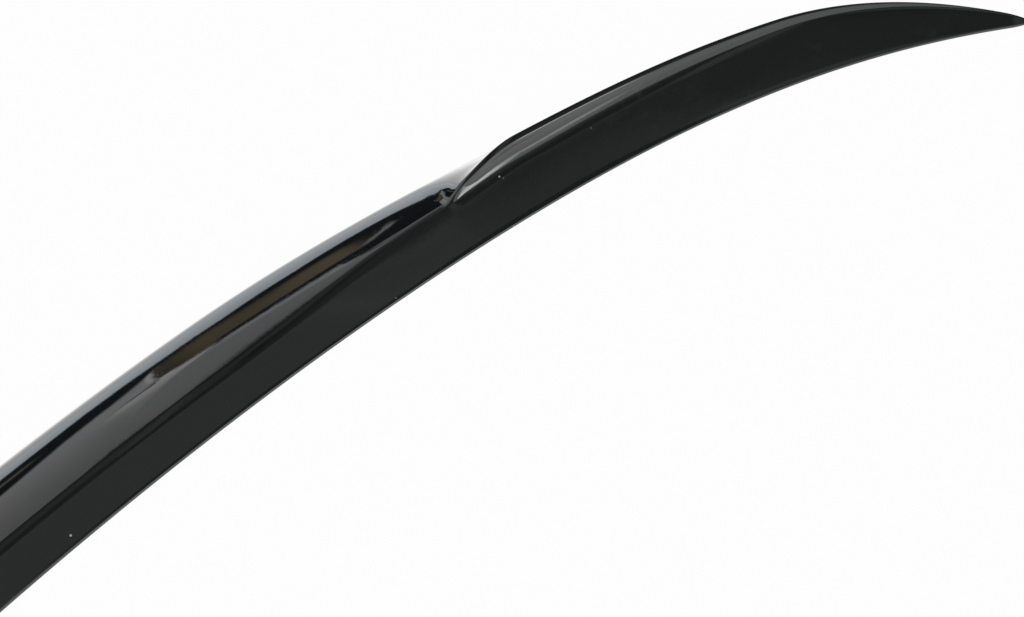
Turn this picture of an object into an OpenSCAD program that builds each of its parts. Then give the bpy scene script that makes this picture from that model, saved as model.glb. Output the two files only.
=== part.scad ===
// Lip spoiler for the rear edge of a car's boot lid: one moulded shell on two strips of foam tape.
// X runs across the car, Y points to the rear and Z up. The underside of the tape lies at Z = 0.
// A section is drawn with its depth behind the front edge first and its height second.

/* [Overall] */
// Width across the car along the front edge, tip to tip
span = 1150; // [1050:10:1250]
// Distance that the middle of the front edge stands behind its ends
bow = 152; // [120:2:170]
// Share of the bow that gathers towards the ends
bow_end_share = 0.305; // [0.2:0.005:0.5]
// How late that share gathers
bow_end_power = 6.4; // [4:0.1:7]

/* [Section in the middle] */
// Depth of the base, front edge to rear edge
mid_base_depth = 53.4; // [50:0.1:56]
// Depth of the front ramp
mid_ramp_depth = 14.9; // [13:0.1:16]
// Height of the top of the ramp over the lower edge
mid_ramp_height = 9.9; // [9:0.1:10.5]
// Depth of the crown's rear end behind the front edge
mid_crown_depth = 29; // [26:0.5:32]
// Height of the crown
mid_crown_height = 11.8; // [11.4:0.1:13.5]
// Width of the crown's level top
mid_land_w = 4.5; // [2:0.1:6]
// How far the face between ramp and crown or ridge bulges out
face_bulge = 0.1; // [0:0.05:0.6]
// Angle below level at which the back leaves the crown
mid_leave_angle = 8; // [2:1:10]
// Angle below level at which the back meets the rear edge
mid_arrive_angle = 45; // [40:1:60]

/* [Section at the waist] */
// Depth of the front ramp at the waist
waist_ramp_depth = 19.5; // [18:0.1:20]
// Height of the top of the ramp at the waist
waist_ramp_height = 11.6; // [10.8:0.1:11.8]
// Depth of the ridge at the waist
waist_ridge_depth = 22.4; // [21.8:0.1:24]
// Height of the ridge at the waist
waist_ridge_height = 12.2; // [12:0.1:14]
// Width of the level land along the ridge
waist_land_w = 0.8; // [0.5:0.1:1.2]
// Angle below level at which the back leaves the ridge
waist_leave_angle = 12; // [6:1:20]
// Angle below level at which the back meets the rear edge
waist_arrive_angle = 45; // [40:1:60]

/* [Section of the side blade] */
// Depth of the base under the blade
blade_base_depth = 41; // [40:0.5:46]
// Depth of the front ramp at the root of the blade
blade_ramp_depth = 23.3; // [22:0.1:24.6]
// Height of the top of the ramp at the root of the blade
blade_ramp_height = 13.4; // [12.5:0.1:14.6]
// Depth of the front ramp before the taper, at the tip
end_ramp_depth = 24.4; // [22:0.1:25.2]
// Height of the top of the ramp before the taper, at the tip
end_ramp_height = 13.6; // [12:0.1:13.8]
// Depth of the rim at the root of the blade
blade_rim_depth = 27.8; // [27.4:0.1:30]
// Height of the rim at the root of the blade, its highest place
blade_rim_height = 22.6; // [20:0.1:26]
// Depth of the rim before the taper, at the tip
end_rim_depth = 29; // [28:0.1:30]
// Height of the rim before the taper, at the tip
end_rim_height = 14.6; // [14.4:0.1:18]
// Width of the bevelled land along the rim, at the root of the blade
blade_land_w = 3.2; // [1:0.1:3.4]
// Width of that land at the tip
end_land_w = 1.6; // [1:0.1:1.8]
// Rise of that land
blade_land_angle = 33; // [25:1:45]
// How far the blade's face is hollowed
blade_face_hollow = 0.3; // [0:0.05:0.4]
// Angle below level at which the back leaves the rim
blade_leave_angle = 72; // [60:1:78]
// Angle below level at which the back meets the rear edge
blade_arrive_angle = 40; // [30:1:50]

/* [Places along the width, from the middle] */
// Where the crown's rear end begins to sharpen to a ridge
ridge_start = 80; // [60:5:100]
// Where the ridge is at its sharpest
ridge_end = 150; // [120:5:180]
// Where the crown begins to draw in
waist_start = 112; // [80:4:140]
// Where the ramp begins to widen
ramp_start = 150; // [120:5:180]
// Where the ridge reaches the waist
waist_end = 262; // [220:2:266]
// Where the ridge begins to kick up into the blade
kick_start = 268; // [266:1:280]
// Where the blade is at its highest
kick_end = 324; // [306:1:350]
// Where the base begins to narrow
narrow_start = 160; // [130:5:180]
// Where the base has narrowed to its depth under the blade
narrow_end = 440; // [400:5:460]
// Where the blade's face has finished lying back
lean_end = 440; // [400:5:460]

/* [Tip] */
// Length of the taper at each tip
tip_length = 108; // [80:1:120]
// How late the taper falls away
tip_power = 2.1; // [1.6:0.1:3]
// Depth left at the very tip, as a share of the full section
tip_share = 0.08; // [0.04:0.01:0.12]
// Length of the rounded end
tip_round = 9; // [4:0.5:12]

/* [Edges and fillets] */
// Thickness of the front edge
edge_t = 1.2; // [0.9:0.1:2]
// Height of the upright strip along the rear edge
rear_edge_t = 0.9; // [0.7:0.1:1.6]
// Chamfer along the lower edges
lower_chamfer = 0.3; // [0.2:0.05:0.4]
// Reach of the rounding on the front edge
edge_reach = 0.3; // [0.3:0.1:0.8]
// Reach of the rounding at the top of the ramp in the middle
mid_crease_reach = 2.6; // [1.5:0.1:4]
// Reach of the hollow fillet between ramp and blade
blade_crease_reach = 5; // [3:0.1:8]
// Reach of the rounding at both ends of the crown's level top
crown_reach = 6; // [3:0.5:8]
// Reach of the rounding on the ridge at the waist
ridge_reach = 0.6; // [0.3:0.1:1]
// Reach of the rounding on the blade's rim
rim_reach = 0.6; // [0.3:0.1:1.2]
// Where the back turns first, as a share of the way to the rear edge
back_upper_share = 0.19; // [0.16:0.01:0.26]
// Where the back turns last, as a share of the way from the rear edge
back_lower_share = 0.27; // [0.22:0.01:0.32]
// Where the two curves of the back join, as a share of the way between those turns
back_joint_share = 0.35; // [0.3:0.01:0.5]

/* [Shell] */
// Thickness of the wall over the hollow underside
wall = 2.6; // [2:0.1:3.2]
// Width of the lip that runs round the underside
lip_w = 3; // [2:0.1:4]
// Draft of the hollow's side walls
pocket_draft = 0.3; // [0.1:0.1:0.6]
// Distance from the tip to the end of the hollow
pocket_inset = 70; // [60:1:90]

/* [Ribs] */
// Pitch of the cross ribs in the hollow
rib_pitch = 95; // [80:1:120]
// Thickness of a rib
rib_t = 2; // [1.5:0.1:3]
// Draft of a rib's faces
rib_draft = 0.5; // [0.3:0.1:0.8]
// Distance that a rib stops short of the tape's plane
rib_gap = 1; // [0.6:0.1:2]

/* [Tape] */
// Width of a tape strip
tape_w = 8; // [6:0.5:9]
// Thickness of the tape
tape_t = 1.1; // [0.8:0.1:1.6]
// Depth of the seat that the tape is stuck in
seat_depth = 0.5; // [0.2:0.1:0.7]
// Clearance between the tape's edge and the side of its seat
seat_gap = 0.3; // [0.2:0.1:0.5]
// Distance from the tip to the end of the seat
seat_inset = 65; // [55:1:70]
// Distance from the end of the seat to the end of the tape
tape_inset = 2; // [1:0.5:5]

/* [Hidden] */

shell_colour = [0.05, 0.05, 0.055];
tape_colour = [0.2, 0.2, 0.21];

half = span/2;
// Height of the shell's lower edge over the tape's underside
lower_edge_z = tape_t - seat_depth;
seat_w = tape_w + 2*seat_gap;
pocket_end = half - pocket_inset;
seat_end = half - seat_inset;
tape_end = seat_end - tape_inset;
tip_start = half - tip_length;
round_start = half - tip_round;
rib_count = floor((pocket_end - rib_pitch/6)/rib_pitch);

// Points in the rounding of each corner, and steps along each stretch
edge_steps = 2;
crease_steps = 3;
face_steps = 1;
land_steps = 2;
back_steps = 3;
bay_steps = 4;
kick_bay_steps = 7;
tip_steps = 7;
round_steps = 4;
tape_step = 20;
wall_steps = 4;
// Greatest part of an edge that a rounding takes up
corner_room = 0.45;
// Margin about the kick in which the bays get the finer steps
kick_margin = 10;
// Size of the last ring of the rounded end
last_ring = 0.3;
// Least and greatest shares of the hollow's depth at which its ceiling turns
first_turn = [0.1, 0.7];
last_turn = [0.45, 0.9];
least_turn = 0.1;

function mix(a, b, t) = a + (b - a)*t;
function limit(v, low, high) = max(low, min(high, v));
// Smooth step from 0 at a to 1 at b
function ease(a, b, x) = let (t = limit((x - a)/(b - a), 0, 1)) t*t*(3 - 2*t);

// The front edge seen from above, and its slope
function plan_y(x) =
    let (q = abs(x)/half)
    -bow*((1 - bow_end_share)*pow(q, 2) + bow_end_share*pow(q, bow_end_power));
function plan_slope(x) =
    let (
        q = abs(x)/half,
        even = 2*(1 - bow_end_share)*q,
        late = bow_end_power*bow_end_share*pow(q, bow_end_power - 1)
    )
    -sign(x)*bow*(even + late)/half;
// A section's point put square to the front edge at x
function place(x, p, lift, shift) =
    let (s = plan_slope(x), l = norm([1, s]))
    [x - p.x*s/l, plan_y(x) + p.x/l + shift, p.y + lift];

// How the sections share a place: sharpening, at the waist, and on the blade
function at_ridge(a) = ease(ridge_start, ridge_end, a);
function at_waist(a) = ease(waist_start, waist_end, a);
function at_blade(a) = ease(kick_start, kick_end, a);
function blend(mid, waist, blade, to_waist, a) = mix(mix(mid, waist, to_waist), blade, at_blade(a));
// How far the blade's face has lain back, and how far it has come down towards the tip
function at_lean(a) = ease(kick_end, lean_end, a);
function at_tip(a) = limit((a - kick_end)/(half - kick_end), 0, 1);

function base_depth(a) = mix(mid_base_depth, blade_base_depth, ease(narrow_start, narrow_end, a));
function ramp_top(a) =
    blend([mid_ramp_depth, mid_ramp_height], [waist_ramp_depth, waist_ramp_height],
        mix([blade_ramp_depth, blade_ramp_height], [end_ramp_depth, end_ramp_height], at_lean(a)),
        ease(ramp_start, waist_end, a), a);
function ridge(a) =
    blend([mid_crown_depth, mid_crown_height], [waist_ridge_depth, waist_ridge_height],
        [mix(blade_rim_depth, end_rim_depth, at_lean(a)), mix(blade_rim_height, end_rim_height, at_tip(a))],
        at_waist(a), a);

// The share of the full section that is left in the taper of the tip
function tip_scale(a) = 1 - (1 - tip_share)*pow(max(0, (a - tip_start)/tip_length), tip_power);
function taper(p, a) = let (s = tip_scale(a)) [p.x*s, edge_t + (p.y - edge_t)*s];

// A point between p and q, moved out square to the line between them
function bulged(p, q, bulge) = let (d = (q - p)/norm(q - p)) (p + q)/2 + 2*bulge*[-d.y, d.x];
function heading(angle) = [cos(angle), sin(angle)];

// Outer corners: front edge, top of the ramp, face, both ends of the land, two on the back, rear edge
function outer_corners(a) =
    let (
        low = ramp_top(a),
        top = ridge(a),
        rim_land_w = mix(blade_land_w, end_land_w, at_tip(a)),
        land_w = blend(mid_land_w, waist_land_w, rim_land_w, at_ridge(a), a),
        land = top - land_w*heading(blend(0, 0, blade_land_angle, at_ridge(a), a)),
        rear = [base_depth(a), rear_edge_t],
        length = norm(rear - top),
        leave = blend(mid_leave_angle, waist_leave_angle, blade_leave_angle, at_ridge(a), a),
        arrive = blend(mid_arrive_angle, waist_arrive_angle, blade_arrive_angle, at_waist(a), a),
        upper = top + back_upper_share*length*heading(-leave),
        lower = rear - back_lower_share*length*heading(-arrive),
        bulge = mix(face_bulge, -blade_face_hollow, at_blade(a))
    )
    [
        [lower_chamfer/2, edge_t],
        taper(low, a),
        taper(bulged(low, land, bulge), a),
        taper(land, a),
        taper(top, a),
        taper(upper, a),
        taper(lower, a),
        [rear.x*tip_scale(a), rear_edge_t]
    ];

// Points along a quadratic curve from p to q that a corner b pulls on
function curve(p, b, q, steps, first = 0) =
    [for (i = [first : steps]) let (t = i/steps) p*pow(1 - t, 2) + b*2*t*(1 - t) + q*pow(t, 2)];
// A corner b rounded between its neighbours a and c
function beside(b, a, reach) = b + min(reach/norm(a - b), corner_room)*(a - b);
function rounded(a, b, c, steps, reach) = curve(beside(b, a, reach), b, beside(b, c, reach), steps);

function outer_points(a) =
    let (
        v = outer_corners(a),
        s = tip_scale(a),
        depth = v[7].x,
        high_front = [0, lower_chamfer],
        high_rear = [depth, lower_chamfer],
        joint = mix(v[5], v[6], back_joint_share),
        crease_reach = mix(mid_crease_reach, blade_crease_reach, at_blade(a)),
        top_reach = blend(crown_reach, ridge_reach, rim_reach, at_ridge(a), a)
    )
    concat(
        [[lower_chamfer*s, 0], high_front],
        rounded(high_front, v[0], v[1], edge_steps, edge_reach*s),
        rounded(v[0], v[1], v[2], crease_steps, crease_reach*s),
        curve((v[1] + v[2])/2, v[2], (v[2] + v[3])/2, face_steps),
        rounded(v[2], v[3], v[4], land_steps, top_reach*s),
        rounded(v[3], v[4], v[5], land_steps, top_reach*s),
        curve((v[4] + v[5])/2, v[5], joint, back_steps),
        curve(joint, v[6], (v[6] + v[7])/2, back_steps, 1),
        rounded(v[6], v[7], high_rear, edge_steps, edge_reach*s),
        [high_rear, [depth - lower_chamfer*s, 0]]
    );

// Height at depth n that lies a wall below the outer points, measured square to them
function under_wall(n, points) =
    min([for (i = [-wall_steps : wall_steps])
        let (d = wall*i/wall_steps) lookup(n + d, points) - sqrt(wall*wall - d*d)]);

// 1 where the hollow is open, 0 under a rib and past its end
function openness(a) =
    let (
        nearest = min(rib_count, round(a/rib_pitch))*rib_pitch,
        beside_rib = limit((abs(a - nearest) - rib_t/2)/rib_draft, 0, 1),
        before_end = limit((pocket_end + rib_draft - a)/rib_draft, 0, 1)
    )
    min(beside_rib, before_end);

// The underside from the rear edge to the front edge: lip, seat, hollow, seat and lip
function under_points(a, outer) =
    let (
        v = outer_corners(a),
        depth = v[7].x,
        narrow = min(1, depth/(base_depth(seat_end)*tip_scale(seat_end))),
        seat_z = seat_depth*narrow,
        lip = lip_w*narrow,
        front = (lip_w + seat_w)*narrow,
        rear = depth - front,
        draft = pocket_draft*narrow,
        first = front + draft,
        reach = rear - draft - first,
        turn_a = limit((v[1].x - first)/reach, first_turn[0], first_turn[1]),
        turn_b = limit((v[4].x - first)/reach, max(last_turn[0], turn_a + least_turn), last_turn[1]),
        shares = [1, mix(turn_b, 1, 0.5), turn_b, mix(turn_a, turn_b, 0.5), turn_a, turn_a/2, 0],
        low = seat_z + rib_gap*narrow,
        open = openness(a)
    )
    concat(
        [[depth - lip, 0], [depth - lip, seat_z], [rear, seat_z]],
        [for (t = shares) let (n = first + reach*t)
            [n, mix(low, max(low + rib_draft, under_wall(n, outer)), open)]],
        [[front, seat_z], [lip, seat_z], [lip, 0]]
    );

// One closed ring of the shell, drawn together towards its middle in the rounded end
function ring(x) =
    let (
        a = abs(x),
        outer = outer_points(a),
        points = concat(outer, under_points(a, outer)),
        middle = [base_depth(a)*tip_scale(a)/2, edge_t/2],
        end = a > round_start ? max(last_ring, sqrt(max(0, 1 - pow((a - round_start)/tip_round, 2)))) : 1
    )
    [for (p = points) middle + (p - middle)*end];

// Places of the rings from the middle to one tip
function rib_sides(k) =
    let (x = k*rib_pitch, inner = rib_t/2, outer = rib_t/2 + rib_draft)
    k == 0 ? [inner, outer] : [x - outer, x - inner, x + inner, x + outer];
function bay(k) =
    let (
        from = k*rib_pitch + rib_t/2 + rib_draft,
        to = k < rib_count ? (k + 1)*rib_pitch - rib_t/2 - rib_draft : pocket_end,
        in_kick = to > kick_start - kick_margin && from < kick_end + kick_margin,
        steps = in_kick ? kick_bay_steps : bay_steps
    )
    [for (i = [1 : steps - 1]) mix(from, to, i/steps)];
half_places = concat(
    [for (k = [0 : rib_count]) each concat(rib_sides(k), bay(k))],
    [pocket_end, pocket_end + rib_draft],
    [for (i = [1 : tip_steps]) mix(pocket_end + rib_draft, round_start, i/tip_steps)],
    [for (i = [1 : round_steps]) round_start + tip_round*sin(90*i/round_steps)]
);
last_place = len(half_places) - 1;
shell_places = concat([for (i = [last_place : -1 : 0]) -half_places[i]], half_places);

// The part is centred front to back on its own outline
front_y = min([for (x = half_places) if (x > tip_start) each [for (p = ring(x)) place(x, p, 0, 0).y]]);
rear_y = mid_base_depth;
shift_y = -(front_y + rear_y)/2;

// Skin over equal closed rings, with both ends capped
module skin(rings) {
    count = len(rings[0]);
    last = len(rings) - 1;
    sides = [
        for (i = [0 : last - 1], j = [0 : count - 1])
            let (
                k = (j + 1) % count,
                a = i*count + j,
                b = i*count + k,
                c = a + count,
                d = b + count
            )
            each [[a, b, c], [b, d, c]]
    ];
    caps = [[for (j = [count - 1 : -1 : 0]) j], [for (j = [0 : count - 1]) last*count + j]];
    polyhedron(points = [for (r = rings) each r], faces = concat(sides, caps), convexity = 10);
}

// The moulded shell: ramp, crown, waist, blades and tips over a ribbed hollow
module spoiler_shell() {
    color(shell_colour)
        skin([for (x = shell_places) [for (p = ring(x)) place(x, p, lower_edge_z, shift_y)]]);
}

// A strip of tape whose front edge lies at the given depth along the shell
module tape(depths) {
    last = len(depths) - 1;
    skin([
        for (i = [0 : last])
            let (x = mix(-tape_end, tape_end, i/last), n = depths[i])
            [for (p = [[n, 0], [n, tape_t], [n + tape_w, tape_t], [n + tape_w, 0]])
                place(x, p, 0, shift_y)]
    ]);
}

tape_count = ceil(2*tape_end/tape_step);
tape_places = [for (i = [0 : tape_count]) mix(-tape_end, tape_end, i/tape_count)];

// The strip under the front ramp
module front_tape() {
    color(tape_colour)
        tape([for (x = tape_places) lip_w + seat_gap]);
}

// The strip along the rear edge
module rear_tape() {
    color(tape_colour)
        tape([for (x = tape_places)
            base_depth(abs(x))*tip_scale(abs(x)) - lip_w - seat_gap - tape_w]);
}

spoiler_shell();
front_tape();
rear_tape();
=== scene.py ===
import math

import bpy
import numpy as np
from mathutils import Matrix, Vector


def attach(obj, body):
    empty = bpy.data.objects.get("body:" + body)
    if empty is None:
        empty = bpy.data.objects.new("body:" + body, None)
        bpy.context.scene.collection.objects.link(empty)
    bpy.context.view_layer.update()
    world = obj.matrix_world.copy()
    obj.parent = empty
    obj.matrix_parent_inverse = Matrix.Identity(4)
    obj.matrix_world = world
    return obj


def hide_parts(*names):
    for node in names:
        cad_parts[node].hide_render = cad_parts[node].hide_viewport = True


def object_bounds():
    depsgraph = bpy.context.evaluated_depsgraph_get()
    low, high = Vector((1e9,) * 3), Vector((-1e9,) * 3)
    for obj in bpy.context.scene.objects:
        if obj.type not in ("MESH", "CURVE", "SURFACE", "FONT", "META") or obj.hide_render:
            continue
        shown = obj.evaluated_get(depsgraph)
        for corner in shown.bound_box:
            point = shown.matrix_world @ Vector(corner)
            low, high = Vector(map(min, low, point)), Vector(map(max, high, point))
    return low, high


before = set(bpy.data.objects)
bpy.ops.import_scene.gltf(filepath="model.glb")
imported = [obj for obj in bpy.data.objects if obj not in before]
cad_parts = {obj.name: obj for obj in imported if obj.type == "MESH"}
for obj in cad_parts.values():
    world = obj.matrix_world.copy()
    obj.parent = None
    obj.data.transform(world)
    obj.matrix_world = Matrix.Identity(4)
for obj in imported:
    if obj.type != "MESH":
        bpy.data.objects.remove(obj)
cad_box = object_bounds()

# Camera
# It looks down on the front of the spoiler from beside its middle, along the part to its right tip.
# Place, turn and lens come from laying the photograph's front edge back on the base plane.
MM = 0.001
photo_width_px = 1024
sensor_mm = 36
camera_focal_px = 1900
camera_place = Vector((-203.8, -346.7, 572.8)) * MM
camera_heading = math.radians(53.97)
camera_pitch = math.radians(45)
nearest_seen = 10 * MM
camera_data = bpy.data.cameras.new("view_camera")
camera_data.sensor_width = sensor_mm
camera_data.lens = camera_focal_px / photo_width_px * sensor_mm
camera_data.clip_start = nearest_seen
camera = bpy.data.objects.new("view_camera", camera_data)
bpy.context.collection.objects.link(camera)
camera.matrix_world = (
    Matrix.Translation(camera_place)
    @ Matrix.Rotation(-camera_heading, 4, "Z")
    @ Matrix.Rotation(math.pi / 2 - camera_pitch, 4, "X")
)
bpy.context.scene.camera = camera

# Spoiler shell
# One injection-moulded ABS part with a low rounded middle, a ridge that draws in to a waist and then kicks
# up into a side blade, and a tapered tip. Its top is painted gloss black, its ribbed underside is bare, and
# two strips of tape hold it. Its sizes are in millimetres and its angles in degrees.

# Outline seen from above
span = 1150
bow = 152
bow_end_share = 0.305
bow_end_power = 6.4

# Section in the middle
mid_base_depth = 53.4
mid_ramp_depth = 14.9
mid_ramp_height = 9.9
mid_crown_depth = 29
mid_crown_height = 11.8
mid_land_w = 4.5
face_bulge = 0.1
mid_leave_angle = 8
mid_arrive_angle = 45

# Section at the waist
waist_ramp_depth = 19.5
waist_ramp_height = 11.6
waist_ridge_depth = 22.4
waist_ridge_height = 12.2
waist_land_w = 0.8
waist_leave_angle = 12
waist_arrive_angle = 45

# Section of the side blade, from its root to its end
blade_base_depth = 41
blade_ramp_depth = 23.3
blade_ramp_height = 13.4
end_ramp_depth = 24.4
end_ramp_height = 13.6
blade_rim_depth = 27.8
blade_rim_height = 22.6
end_rim_depth = 29
end_rim_height = 14.6
blade_land_w = 3.2
end_land_w = 1.6
blade_land_angle = 33
blade_face_hollow = 0.3
blade_leave_angle = 72
blade_arrive_angle = 40

# Distances from the middle at which one section turns into the next
ridge_start = 80
ridge_end = 150
waist_start = 112
ramp_start = 150
waist_end = 262
kick_start = 268
kick_end = 324
root_start = 279
root_end = 291
narrow_start = 160
narrow_end = 440
lean_end = 440

# Tip
tip_length = 108
tip_power = 2.1
tip_share = 0.08
tip_round = 9

# Edges and roundings
edge_t = 1.2
rear_edge_t = 0.9
lower_chamfer = 0.3
edge_reach = 0.3
mid_crease_reach = 2.6
waist_crease_reach = 5
blade_crease_reach = 5
crown_reach = 6
ridge_reach = 0.6
rim_reach = 0.6
back_upper_share = 0.19
back_lower_share = 0.27
back_joint_share = 0.35
corner_room = 0.45

# Hollow underside with its lip and ribs
wall = 2.6
lip_w = 3
pocket_draft = 0.3
pocket_inset = 70
rib_pitch = 95
rib_t = 2
rib_draft = 0.5
rib_gap = 1
# Least and greatest shares of the hollow's depth at which its ceiling turns
first_turn = (0.1, 0.7)
last_turn = (0.45, 0.9)
least_turn = 0.1

# Tape and the seats for it
tape_w = 8
tape_t = 1.1
seat_depth = 0.5
seat_gap = 0.3
seat_inset = 65

# Steps along each stretch of the section, and from section to section
edge_steps = 5
ramp_steps = 8
foot_steps = 3
crease_steps = 12
face_steps = 10
land_steps = 8
back_steps = 12
wall_samples = 17
station_step = 2.2
least_station_step = 0.3
station_digits = 4
round_steps = 12
last_ring = 0.04
sharp_angle = 35

half = span / 2
tip_start = half - tip_length
round_start = half - tip_round
pocket_end = half - pocket_inset
seat_end = half - seat_inset
seat_w = tape_w + 2 * seat_gap
rib_count = math.floor((pocket_end - rib_pitch / 6) / rib_pitch)
lower_edge_z = tape_t - seat_depth


def mix(low, high, share):
    return low + (high - low) * share


def ease(start, end, x):
    share = np.clip((x - start) / (end - start), 0, 1)
    return share * share * (3 - 2 * share)


def pair(depth, height):
    """A section's point for every station: depth behind the front edge, and height."""
    return np.stack(np.broadcast_arrays(np.asarray(depth, float), np.asarray(height, float)), axis=-1)


def plan_y(x):
    q = np.abs(x) / half
    return -bow * ((1 - bow_end_share) * q**2 + bow_end_share * q**bow_end_power)


def plan_slope(x):
    q = np.abs(x) / half
    even = 2 * (1 - bow_end_share) * q
    late = bow_end_power * bow_end_share * q ** (bow_end_power - 1)
    return -np.sign(x) * bow * (even + late) / half


def at_ridge(a):
    return ease(ridge_start, ridge_end, a)


def at_waist(a):
    return ease(waist_start, waist_end, a)


def at_blade(a):
    """The kick. The visible skin holds the ridge level a little longer than the solid, then catches up."""
    return ease(kick_start, kick_end, a) * ease(root_start, root_end, a)


def blend(mid, waist, blade, to_waist, a):
    return mix(mix(mid, waist, to_waist), blade, at_blade(a))


def at_lean(a):
    return ease(kick_end, lean_end, a)


def at_tip(a):
    return np.clip((a - kick_end) / (half - kick_end), 0, 1)


def base_depth(a):
    return mix(mid_base_depth, blade_base_depth, ease(narrow_start, narrow_end, a))


def ramp_top(a):
    to_waist = ease(ramp_start, waist_end, a)
    depth = mix(blade_ramp_depth, end_ramp_depth, at_lean(a))
    height = mix(blade_ramp_height, end_ramp_height, at_lean(a))
    return pair(
        blend(mid_ramp_depth, waist_ramp_depth, depth, to_waist, a),
        blend(mid_ramp_height, waist_ramp_height, height, to_waist, a),
    )


def ridge(a):
    depth = mix(blade_rim_depth, end_rim_depth, at_lean(a))
    height = mix(blade_rim_height, end_rim_height, at_tip(a))
    return pair(
        blend(mid_crown_depth, waist_ridge_depth, depth, at_waist(a), a),
        blend(mid_crown_height, waist_ridge_height, height, at_waist(a), a),
    )


def tip_scale(a):
    return 1 - (1 - tip_share) * (np.maximum(0, a - tip_start) / tip_length) ** tip_power


def size(points):
    return np.linalg.norm(points, axis=1)[:, None]


def heading(degrees):
    angle = np.radians(degrees)
    return pair(np.cos(angle), np.sin(angle))


def outer_corners(a):
    """Corners of the skin: front edge, top of the ramp, face, land's two ends, two on the back, rear edge."""
    scale = tip_scale(a)[:, None]
    base = pair(0, edge_t)
    low = ramp_top(a)
    top = ridge(a)
    rim_land_w = mix(blade_land_w, end_land_w, at_tip(a))
    land_w = blend(mid_land_w, waist_land_w, rim_land_w, at_ridge(a), a)[:, None]
    land = top - land_w * heading(blade_land_angle * at_blade(a))
    rear = pair(base_depth(a), rear_edge_t)
    along = (land - low) / size(land - low)
    out = np.stack([-along[:, 1], along[:, 0]], axis=1)
    bulge = mix(face_bulge, -blade_face_hollow, at_blade(a))[:, None]
    face = (low + land) / 2 + 2 * bulge * out
    leave = blend(mid_leave_angle, waist_leave_angle, blade_leave_angle, at_ridge(a), a)
    arrive = blend(mid_arrive_angle, waist_arrive_angle, blade_arrive_angle, at_waist(a), a)
    upper = top + back_upper_share * size(rear - top) * heading(-leave)
    lower = rear - back_lower_share * size(rear - top) * heading(-arrive)
    inner = [base + (corner - base) * scale for corner in (low, face, land, top, upper, lower)]
    return [pair(lower_chamfer / 2 + 0 * a, edge_t), *inner, pair(rear[:, 0] * scale[:, 0], rear_edge_t)]


def curve(p, corner, q, steps):
    """Points along a quadratic curve from p to q that a corner pulls on, for every station."""
    shares = np.linspace(0, 1, steps + 1)
    return [p * (1 - t) ** 2 + corner * 2 * t * (1 - t) + q * t**2 for t in shares]


def rounded(before, corner, after, reach, steps):
    """A corner rounded between its neighbours."""
    p = corner + np.minimum(reach / size(before - corner), corner_room) * (before - corner)
    q = corner + np.minimum(reach / size(after - corner), corner_room) * (after - corner)
    return curve(p, corner, q, steps)


def straight(start, target, steps):
    """Points between two others, ends left out."""
    return [mix(start, target, t) for t in np.linspace(0, 1, steps + 1)[1:-1]]


def outer_rings(a):
    """The skin from the foot of the front edge over the top to the foot of the rear edge."""
    v = outer_corners(a)
    scale = tip_scale(a)[:, None]
    high_front = pair(0 * a, lower_chamfer)
    high_rear = pair(v[7][:, 0], lower_chamfer)
    crease_reach = blend(mid_crease_reach, waist_crease_reach, blade_crease_reach, at_waist(a), a)
    top_reach = blend(crown_reach, ridge_reach, rim_reach, at_ridge(a), a)[:, None] * scale
    edge = rounded(high_front, v[0], v[1], edge_reach * scale, edge_steps)
    crease = rounded(v[0], v[1], v[2], crease_reach[:, None] * scale, crease_steps)
    face = curve((v[1] + v[2]) / 2, v[2], (v[2] + v[3]) / 2, face_steps)
    land = rounded(v[2], v[3], v[4], top_reach, land_steps) + rounded(v[3], v[4], v[5], top_reach, land_steps)
    joint = mix(v[5], v[6], back_joint_share)
    upper_back = curve((v[4] + v[5]) / 2, v[5], joint, back_steps)
    lower_back = curve(joint, v[6], (v[6] + v[7]) / 2, back_steps)[1:]
    rear = rounded(v[6], v[7], high_rear, edge_reach * scale, edge_steps)
    ramp = straight(edge[-1], crease[0], ramp_steps)
    foot = straight(lower_back[-1], rear[0], foot_steps)
    start = [pair(lower_chamfer * scale[:, 0], 0), high_front]
    end = [high_rear, pair(v[7][:, 0] - lower_chamfer * scale[:, 0], 0)]
    return start + edge + ramp + crease + face + land + upper_back + lower_back + foot + rear + end


def openness(a):
    """1 where the hollow is open, 0 under a rib and past its end."""
    nearest = np.minimum(rib_count, np.round(a / rib_pitch)) * rib_pitch
    beside_rib = np.clip((np.abs(a - nearest) - rib_t / 2) / rib_draft, 0, 1)
    before_end = np.clip((pocket_end + rib_draft - a) / rib_draft, 0, 1)
    return np.minimum(beside_rib, before_end)


def under_wall(n, outer):
    """Height at depth n that lies a wall below the outer skin, measured square to it."""
    offsets = wall * np.linspace(-1, 1, wall_samples)
    drops = np.sqrt(np.maximum(0, wall**2 - offsets**2))
    skins = [np.interp(n[i] + offsets, outer[i, :, 0], outer[i, :, 1]) for i in range(len(n))]
    return (np.array(skins) - drops).min(axis=1)


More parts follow.
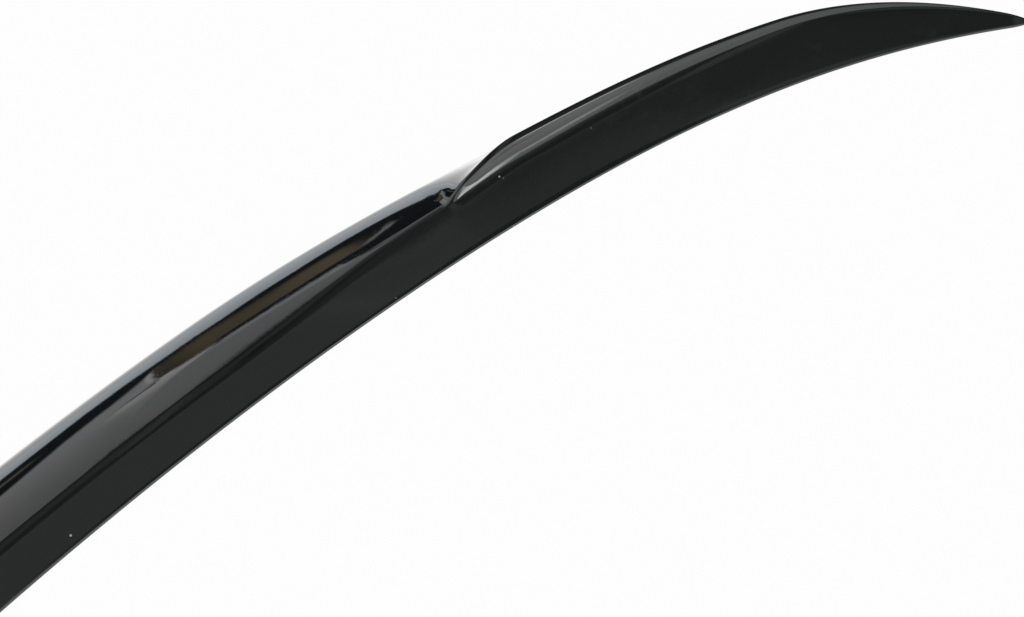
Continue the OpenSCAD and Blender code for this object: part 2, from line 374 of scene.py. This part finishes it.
def under_rings(a, outer):
    """The underside from the rear edge to the front edge: lip, seat, hollow, seat and lip."""
    v = outer_corners(a)
    depth = v[7][:, 0]
    seat_end_depth = base_depth(np.array([seat_end])) * tip_scale(np.array([seat_end]))
    narrow = np.minimum(1, depth / seat_end_depth)
    seat_z = seat_depth * narrow
    lip = lip_w * narrow
    front = (lip_w + seat_w) * narrow
    rear = depth - front
    first = front + pocket_draft * narrow
    reach = rear - pocket_draft * narrow - first
    turn_a = np.clip((v[1][:, 0] - first) / reach, *first_turn)
    least_b = np.maximum(last_turn[0], turn_a + least_turn)
    turn_b = np.clip((v[4][:, 0] - first) / reach, least_b, last_turn[1])
    low = seat_z + rib_gap * narrow
    shares = [1, mix(turn_b, 1, 0.5), turn_b, mix(turn_a, turn_b, 0.5), turn_a, turn_a / 2, 0]
    rings = [pair(depth - lip, 0), pair(depth - lip, seat_z), pair(rear, seat_z)]
    for share in shares:
        n = first + reach * share
        rings.append(pair(n, mix(low, np.maximum(low + rib_draft, under_wall(n, outer)), openness(a))))
    return rings + [pair(front, seat_z), pair(lip, seat_z), pair(lip, 0)]


def place(x, section, lift):
    """Puts section points square to the front edge at x, raised by lift, in metres."""
    slope = plan_slope(x)[:, None]
    length = np.sqrt(1 + slope**2)
    depth, height = section[..., 0], section[..., 1]
    across = x[:, None] - depth * slope / length
    back = plan_y(x)[:, None] + depth / length
    return np.stack([across, back, height + lift], axis=-1) * MM


# Stations stand at even steps, at both sides of each rib, at the hollow's end and closer in the round tip
ribs = np.arange(rib_count + 1) * rib_pitch
rib_sides = [ribs + side for side in (-rib_t / 2 - rib_draft, -rib_t / 2, rib_t / 2, rib_t / 2 + rib_draft)]
hollow_end = [pocket_end, pocket_end + rib_draft]
even = np.arange(0, round_start, station_step)
rounding = round_start + tip_round * np.sin(np.linspace(0, math.pi / 2, round_steps))
stations = np.concatenate([even, *rib_sides, hollow_end, rounding])
stations = np.unique(np.round(stations, station_digits))
stations = stations[stations > 0]
wide_enough = np.diff(stations, prepend=-1) >= least_station_step
at_rib_side = np.isin(stations, np.round(np.concatenate(rib_sides), station_digits))
stations = stations[wide_enough | at_rib_side | (stations > round_start)]
stations = np.concatenate([-stations[::-1], stations])

# In the round tip each section is drawn together towards its own middle
half_way = np.abs(stations)
outer = outer_rings(half_way)
under = under_rings(half_way, np.stack(outer, axis=1))
section = np.stack(outer + under, axis=1)
middle = pair(base_depth(half_way) * tip_scale(half_way) / 2, edge_t / 2)
past = np.clip((half_way - round_start) / tip_round, 0, 1)
draw_in = np.maximum(last_ring, np.sqrt(1 - past**2))
section = middle[:, None] + (section - middle[:, None]) * draw_in[:, None, None]

# The rear edge meets the CAD box. The fine rim would stand 0.08 mm over the solid's facets, so it is capped.
points = place(stations, section, lower_edge_z)
points[..., 1] += cad_box[1][1] - points[..., 1].max()
points[..., 2] = np.minimum(points[..., 2], cad_box[1][2])

paint_slot = 0
bare_slot = 1
ring_count, ring_size = points.shape[:2]
faces = []
face_slots = []
for i in range(ring_count - 1):
    for j in range(ring_size):
        a = i * ring_size + j
        b = i * ring_size + (j + 1) % ring_size
        faces.append((a, b, b + ring_size, a + ring_size))
        face_slots.append(paint_slot if j < len(outer) - 1 else bare_slot)
faces.append(tuple(range(ring_size - 1, -1, -1)))
faces.append(tuple((ring_count - 1) * ring_size + j for j in range(ring_size)))
face_slots += [paint_slot, paint_slot]
shell_mesh = bpy.data.meshes.new("shell")
shell_mesh.from_pydata(points.reshape(-1, 3).tolist(), [], faces)
shell_mesh.polygons.foreach_set("material_index", face_slots)
shell_mesh.polygons.foreach_set("use_smooth", [True] * len(faces))
shell_mesh.set_sharp_from_angle(angle=math.radians(sharp_angle))
shell_mesh.update()
shell = bpy.data.objects.new("shell", shell_mesh)
bpy.context.collection.objects.link(shell)


class Sock:
    """A shader socket with arithmetic that adds Math nodes."""

    def __init__(self, tree, value):
        self.tree = tree
        self.value = value

    def node(self, kind, settings=None, output=0, **inputs):
        """Any node: its settings first, then its sockets by name, or by place as i0, i1 and so on."""
        made = self.tree.nodes.new(kind)
        for key, value in (settings or {}).items():
            if key == "stops":
                ramp = made.color_ramp
                while len(ramp.elements) < len(value):
                    ramp.elements.new(0.5)
                for element, (position, colour) in zip(ramp.elements, value):
                    element.position = position
                    element.color = (*colour, 1)
            else:
                setattr(made, key, value)
        for key, value in inputs.items():
            target = made.inputs[int(key[1:]) if key[1:].isdigit() else key.replace("_", " ")]
            if isinstance(value, Sock):
                value = value.value
            if isinstance(value, bpy.types.NodeSocket):
                self.tree.links.new(value, target)
            else:
                target.default_value = value
        return Sock(self.tree, made.outputs[output])

    def math(self, operation, first, second=0.0):
        return self.node("ShaderNodeMath", {"operation": operation}, i0=first, i1=second)

    def __add__(self, other):
        return self.math("ADD", self, other)

    def __sub__(self, other):
        return self.math("SUBTRACT", self, other)

    def __rsub__(self, other):
        return self.math("SUBTRACT", other, self)

    def __mul__(self, other):
        return self.math("MULTIPLY", self, other)

    def __truediv__(self, other):
        return self.math("DIVIDE", self, other)

    __radd__ = __add__
    __rmul__ = __mul__

    def band(self, low, high):
        """0 below low, 1 above high and smooth between."""
        settings = {"interpolation_type": "SMOOTHSTEP"}
        return self.node("ShaderNodeMapRange", settings, Value=self, From_Min=low, From_Max=high)

    def noise(self, size, detail=2.0, roughness=0.5):
        """Noise around 0.5 over a position, with features about size millimetres wide."""
        scale = 1 / (size * MM)
        return self.node("ShaderNodeTexNoise", Vector=self, Scale=scale, Detail=detail, Roughness=roughness)

    def bump(self, strength, depth):
        """A normal that a height changes, with depth in millimetres."""
        return self.node("ShaderNodeBump", Strength=strength, Distance=depth * MM, Height=self)

    def colours(self, share, low, high):
        """A colour between two, each a socket or three numbers."""
        ends = [end if isinstance(end, Sock) else (*end, 1) for end in (low, high)]
        return self.node("ShaderNodeMix", {"data_type": "RGBA"}, 2, i0=share, i6=ends[0], i7=ends[1])

    def track(self, points):
        """A value that runs straight between (place, value) pairs and stays level beyond them."""
        low, high = points[0][0], points[-1][0]
        top = max(value for _, value in points)
        stops = [((at - low) / (high - low), (value / top,) * 3) for at, value in points]
        return self.node("ShaderNodeValToRGB", {"stops": stops}, Fac=(self - low) / (high - low)) * top

    def spots(self, places, reach, ragged):
        """1 about a few places of the surface, 0 past their reach, with both in millimetres."""
        found = None
        for centre in places:
            centre = tuple(c * MM for c in centre)
            gap = self.node("ShaderNodeVectorMath", {"operation": "DISTANCE"}, 1, i0=self, i1=centre)
            spot = 1 - (gap * ragged / (reach * MM)).band(0.5, 1)
            found = spot if found is None else self.math("MAXIMUM", found, spot)
        return found


def new_material(name):
    """A material, its shader and the surface position to work from."""
    material = bpy.data.materials.new(name)
    material.use_nodes = True
    tree = material.node_tree
    where = Sock(tree, None).node("ShaderNodeTexCoord", output=3)
    return material, tree.nodes["Principled BSDF"], where


def feed(shader, socket, source):
    shader.id_data.links.new(source.value, shader.inputs[socket])


# Gloss paint: black under clear lacquer, with a faint ripple, and a thin haze that hands have wiped.
# On it lie two white specks of dust, a few crumbs and two smears, in millimetres of the shared frame.
dust_places = [(59.9, 51.5, 3.9), (313.8, 36.8, 12.3)]
dust_reach = 0.55
crumb_places = [(314.8, 35.2, 11.5), (300.4, 19.4, 1.5), (233.4, 32.6, 2.4), (366.6, 23.2, 11.7)]
crumb_reach = 0.4
crumb_share = 0.4
smear_places = [(368, 22, 11.3), (376, 19.8, 11.2), (384, 17, 11), (256, 40, 8.4)]
smear_reach = 5
clean_black = (0.0045, 0.005, 0.005)
hazy_black = (0.011, 0.012, 0.0115)
dust_white = (0.5, 0.52, 0.53)
paint, paint_shader, where = new_material("gloss_black_paint")
paint_shader.inputs["IOR"].default_value = 1.5
paint_shader.inputs["Coat Roughness"].default_value = 0.02
haze = where.noise(size=45, detail=4.0, roughness=0.6).band(0.42, 0.72)
wiped = where.noise(size=6, detail=5.0, roughness=0.7).band(0.45, 0.75)
ripple = where.noise(size=3.5)
ragged = where.noise(size=0.7) * 0.5 + 0.75
dust = where.spots(dust_places, dust_reach, ragged)
crumbs = where.spots(crumb_places, crumb_reach, ragged)
smears = where.spots(smear_places, smear_reach, ragged) * wiped
dirt = where.math("MAXIMUM", dust, crumbs * crumb_share)
film = where.math("MAXIMUM", haze * wiped, smears)
painted = where.colours(film, clean_black, hazy_black)
feed(paint_shader, "Base Color", where.colours(dirt, painted, dust_white))
feed(paint_shader, "Roughness", 0.04 + film * 0.2 + dirt * 0.5)
feed(paint_shader, "Coat Weight", 1 - dirt)
feed(paint_shader, "Normal", ripple.bump(strength=0.06, depth=0.2))

# Bare plastic of the underside: matt, finely grained by the mould, with faint flow marks
bare_dark = (0.016, 0.016, 0.017)
bare_light = (0.026, 0.026, 0.027)
bare, bare_shader, where = new_material("bare_moulded_plastic")
grain = where.noise(size=0.9, detail=3.0, roughness=0.6)
flow = where.noise(size=30)
feed(bare_shader, "Base Color", where.colours(flow, bare_dark, bare_light))
feed(bare_shader, "Roughness", 0.55 + grain * 0.2)
feed(bare_shader, "Normal", grain.bump(strength=0.35, depth=0.2))
shell_mesh.materials.append(paint)
shell_mesh.materials.append(bare)
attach(shell, "root")
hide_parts("spoiler_shell")

# Foam tape
# Two strips of black closed-cell acrylic foam with glue on both sides, pressed into the shell's seats.
# They hold the spoiler to the boot lid and are the lowest thing on it.
foam_dark = (0.03, 0.03, 0.032)
foam_light = (0.055, 0.055, 0.058)
cell_size = 0.4
foam, foam_shader, where = new_material("foam_tape")
cells = where.node("ShaderNodeTexVoronoi", {"feature": "F1"}, Vector=where, Scale=1 / (cell_size * MM))
patch = where.noise(size=12, detail=3.0)
feed(foam_shader, "Base Color", where.colours(patch, foam_dark, foam_light))
feed(foam_shader, "Roughness", 0.75 + patch * 0.15)
feed(foam_shader, "Normal", cells.bump(strength=0.5, depth=0.3))
for name in ("front_tape", "rear_tape"):
    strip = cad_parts[name]
    strip.data.materials.clear()
    strip.data.materials.append(foam)

# Floor
# A plain pale sheet under the spoiler. Camera and gloss see it nearly white, and it keeps a soft shadow.
floor_half = 3000 * MM
floor_signs = [(-1, -1), (1, -1), (1, 1), (-1, 1)]
floor_corners = [(side * floor_half, end * floor_half, 0) for side, end in floor_signs]
floor_grey = (0.86, 0.86, 0.86, 1)
white_to_camera = 0.97
floor_mesh = bpy.data.meshes.new("floor")
floor_mesh.from_pydata(floor_corners, [], [(0, 1, 2, 3)])
floor = bpy.data.objects.new("floor", floor_mesh)
bpy.context.collection.objects.link(floor)
floor_paint, floor_shader, where = new_material("pale_floor")
floor_shader.inputs["Base Color"].default_value = floor_grey
floor_shader.inputs["Roughness"].default_value = 0.9
floor_shader.inputs["Specular IOR Level"].default_value = 0.0
path_camera = where.node("ShaderNodeLightPath", output=0)
path_glossy = where.node("ShaderNodeLightPath", output=3)
seen = where.math("MAXIMUM", path_camera * white_to_camera, path_glossy)
white = where.node("ShaderNodeEmission", Color=(1, 1, 1, 1), Strength=1.0)
mixed = where.node("ShaderNodeMixShader", i0=seen, i1=floor_shader.outputs[0], i2=white)
tree = floor_paint.node_tree
tree.links.new(mixed.value, tree.nodes["Material Output"].inputs["Surface"])
floor_mesh.materials.append(floor_paint)

# Light
# A plain studio: a white floor and low wall, a dark gap and a grey wall behind, a dark ceiling, a white panel
# in front. A direction's turn runs in degrees from the rear horizon over the top to the front one, and along
# is its share along the part, so that the edges of what the paint mirrors can slant as they do in the photo.
world = bpy.data.worlds.new("studio")
bpy.context.scene.world = world
world.use_nodes = True
tree = world.node_tree
sky = Sock(tree, None).node("ShaderNodeTexCoord", output=0)
along, back, up = (sky.node("ShaderNodeSeparateXYZ", output=axis, Vector=sky) for axis in range(3))
turn = sky.math("ARCTAN2", up, back) * (180 / math.pi)


def above(edge, soft):
    """1 where a direction has turned past an edge, 0 short of it."""
    return ((turn - edge) / soft).band(-1, 1)


def beyond(edge, soft):
    """1 where a direction points farther along the part than an edge, 0 where it doesn't."""
    return ((along - edge) / soft).band(-1, 1)


def near(gap, reach):
    """1 on a line, 0 past its reach on either side."""
    return 1 - sky.math("ABSOLUTE", gap).band(0, reach)


def level(share, colour):
    """A colour dimmed by a share."""
    return sky.colours(share, (0, 0, 0), colour)


# Low wall, the dark gap over it, and a thin warm ledge in the gap
low_wall_white = (1.12, 1.22, 1.3)
gap_black = (0.02, 0.025, 0.03)
ledge_brown = (0.3, 0.28, 0.22)
ledge_turn = 14.2
ledge_end = 0.378
low_wall_top = along.track(
    [(0.36, 9.8), (0.42, 9.2), (0.45, 10.5), (0.48, 14), (0.51, 17.2), (0.56, 18.6), (0.62, 16)]
)
gap = above(low_wall_top, soft=0.9)
ledge = near(turn - ledge_turn, reach=1.8) * (1 - beyond(ledge_end, soft=0.012))

# Grey wall behind, with the bright line of its end
wall_grey = (1, 1.01, 1.03)
wall_end_white = (1.2, 1.2, 1.2)
wall_line = along.track([(0.34, 27), (0.36, 25), (0.38, 22), (0.4, 19.3), (0.44, 17.5), (0.47, 15.5)])
wall_soft = along.track([(0.36, 3.5), (0.46, 1.2)])
wall_foot = along.track([(0.57, 28.5), (0.582, 31), (0.595, 36), (0.61, 37)])
wall_end = 0.4735 - turn * 0.00035
wall_level = turn.track([(15, 0.55), (22, 0.78), (35, 0.93), (55, 0.92), (70, 0.84), (81, 0.72)])
past_wall = beyond(wall_end, soft=0.0015)
over_foot = above(wall_foot, soft=0.3)
grey_wall = sky.math("MAXIMUM", above(wall_line, wall_soft) * (1 - past_wall), over_foot)
wall_edge = near(along - wall_end + 0.003, reach=0.004) * above(16, soft=1) * (1 - above(25, soft=3))

# Brown board low beside the wall, and the thin slit past it
board_dark = (0.13, 0.12, 0.09)
board_brown = (0.25, 0.21, 0.13)
board_bright = (0.33, 0.27, 0.17)
slit_white = (0.6, 0.64, 0.6)
board_end = 0.588
slit_end = 0.608
board_foot = along.track([(0.47, 15.4), (0.5, 18.6), (0.52, 21), (0.54, 22.5), (0.58, 23)])
board_top = along.track([(0.49, 29), (0.505, 27), (0.58, 26.3)])
board_height = above(board_foot, soft=1.3) * (1 - above(board_top, soft=0.6))
board = board_height * past_wall * (1 - beyond(board_end, soft=0.01))
board_glow = sky.colours(beyond(0.545, soft=0.03), board_brown, board_bright)
board_colour = sky.colours(beyond(0.485, soft=0.012), board_dark, board_glow)
slit_line = along.track([(0.585, 26), (0.6, 23.7), (0.613, 21)])
slit_height = near(turn - slit_line, reach=0.8)
slit = slit_height * beyond(board_end, soft=0.004) * (1 - beyond(slit_end, soft=0.003))

# Bright wall panel, with the grey lines of its foot and of its end
bright_white = (1.35, 1.35, 1.36)
bright_foot_grey = (0.3, 0.31, 0.3)
bright_end_grey = (0.28, 0.28, 0.27)
bright_line = along.track([(0.405, 40), (0.43, 34.5), (0.452, 32.2), (0.463, 28.6)])
bright_end = 0.555 - turn * 0.0021
bright = beyond(0.418, soft=0.014) * above(bright_line, soft=0.7) * (1 - beyond(bright_end, soft=0.003))
foot_ends = beyond(0.43, soft=0.01) * (1 - beyond(0.464, soft=0.002))
bright_foot = near(turn - bright_line + 1, reach=1.3) * foot_ends
bright_side = near(along - bright_end - 0.004, reach=0.005) * (1 - above(46, soft=6)) * over_foot

# Far wall beyond the bright panel, and the dark corner where it starts
far_grey = (0.58, 0.6, 0.61)
far_corner_grey = (0.12, 0.13, 0.13)
far_line = 0.631 - turn * 0.00162
far_wall = beyond(far_line, soft=0.005) * over_foot
far_corner = near(along - far_line, reach=0.009) * (1 - above(60, soft=8)) * over_foot

# Dark ceiling behind, with a slanting beam and a dark patch
ceiling_tint = (0.97, 1.04, 1.04)
ceiling_grey = (0.2, 0.21, 0.21)
beam_grey = (0.24, 0.26, 0.24)
patch_black = (0.03, 0.035, 0.035)
patch_along = 0.404
patch_turn = 99
ceiling_line = along.track(
    [(0.36, 81.3), (0.4, 77.3), (0.42, 76), (0.455, 84), (0.49, 75), (0.53, 69), (0.55, 63), (0.58, 57)]
)
ceiling_soft = along.track([(0.37, 0.6), (0.41, 1.6), (0.46, 4)])
ceiling_level = turn.track(
    [(81, 0.08), (85, 0.11), (90, 0.17), (97, 0.19), (101, 0.14), (104, 0.07), (108, 0.1)]
)
ceiling_colour = sky.colours(beyond(0.445, soft=0.02), level(ceiling_level, ceiling_tint), ceiling_grey)
beam_line = 264 - along * 450
beam = near(turn - beam_line, reach=6) * above(82, soft=1) * (1 - above(104, soft=3))
dark_patch = near(along - patch_along, reach=0.014) * near(turn - patch_turn, reach=8)

# Front ceiling, which the ramp mirrors: one tone before the waist, one about it and one past it
front_tint = (0.97, 1.04, 1)
front_start = 109.5
waist_from = 0.417
blade_from = 0.4315
middle_level = turn.track(
    [(108, 0.1), (111, 0.12), (112, 0.165), (112.5, 0.21), (113.3, 0.31), (114.3, 0.26)]
)
waist_level = turn.track(
    [(109.5, 0.17), (110.2, 0.13), (111.4, 0.115), (111.7, 0.15), (112, 0.29), (112.4, 0.25), (113, 0.28)]
)
blade_level = turn.track([(111.3, 0.13), (112.1, 0.2)])
late_level = sky.colours(beyond(blade_from, soft=0.006), waist_level, blade_level)
front_level = sky.colours(beyond(waist_from, soft=0.003), middle_level, late_level)
front_ceiling = above(front_start, soft=1)

# Dark strip at the end of the ceiling, and the grey wall in front
strip_black = (0.09, 0.1, 0.1)
front_grey = (0.22, 0.24, 0.24)
front_wall_start = 122
strip_line = along.track(
    [(0.36, 118.5), (0.38, 117.8), (0.395, 116.8), (0.41, 115.4), (0.425, 113.8), (0.445, 113)]
)
dark_strip = above(strip_line, soft=0.4)
front_wall = above(front_wall_start, soft=5)

# White panel in front, and its bright foot, which the foot of the blade's face mirrors
panel_white = (0.92, 0.97, 0.96)
panel_foot_white = (5, 5.25, 5.2)
panel_line = along.track([(0.2, 118), (0.3, 121), (0.34, 124), (0.37, 129), (0.4, 133)])
panel_foot_line = along.track([(0.27, 174), (0.3, 165), (0.35, 145), (0.4, 138)])
panel_foot_level = along.track(
    [(0.27, 0.2), (0.3, 0.42), (0.36, 0.5), (0.39, 0.9), (0.4, 1), (0.425, 1), (0.445, 0.2)]
)
panel = above(panel_line, soft=3.5)
panel_foot = above(panel_foot_line, soft=4)

layers = [
    (gap, gap_black),
    (ledge, ledge_brown),
    (board, board_colour),
    (slit, slit_white),
    (grey_wall, level(wall_level, wall_grey)),
    (wall_edge, wall_end_white),
    (bright, bright_white),
    (bright_foot, bright_foot_grey),
    (bright_side, bright_end_grey),
    (far_wall, far_grey),
    (far_corner, far_corner_grey),
    (above(ceiling_line, ceiling_soft), ceiling_colour),
    (beam, beam_grey),
    (dark_patch, patch_black),
    (front_ceiling, level(front_level, front_tint)),
    (dark_strip, strip_black),
    (front_wall, front_grey),
    (panel, panel_white),
    (panel_foot, level(panel_foot_level, panel_foot_white)),
]
tone = low_wall_white
for mask, colour in layers:
    tone = sky.colours(mask, tone, colour)
is_camera = sky.node("ShaderNodeLightPath", output=0)
studio = sky.node("ShaderNodeBackground", Color=tone, Strength=1.0)
plain = sky.node("ShaderNodeBackground", Color=(1, 1, 1, 1), Strength=1.0)
mixed = sky.node("ShaderNodeMixShader", i0=is_camera, i1=studio, i2=plain)
tree.links.new(mixed.value, tree.nodes["World Output"].inputs["Surface"])
bpy.context.scene.view_settings.view_transform = "Standard"
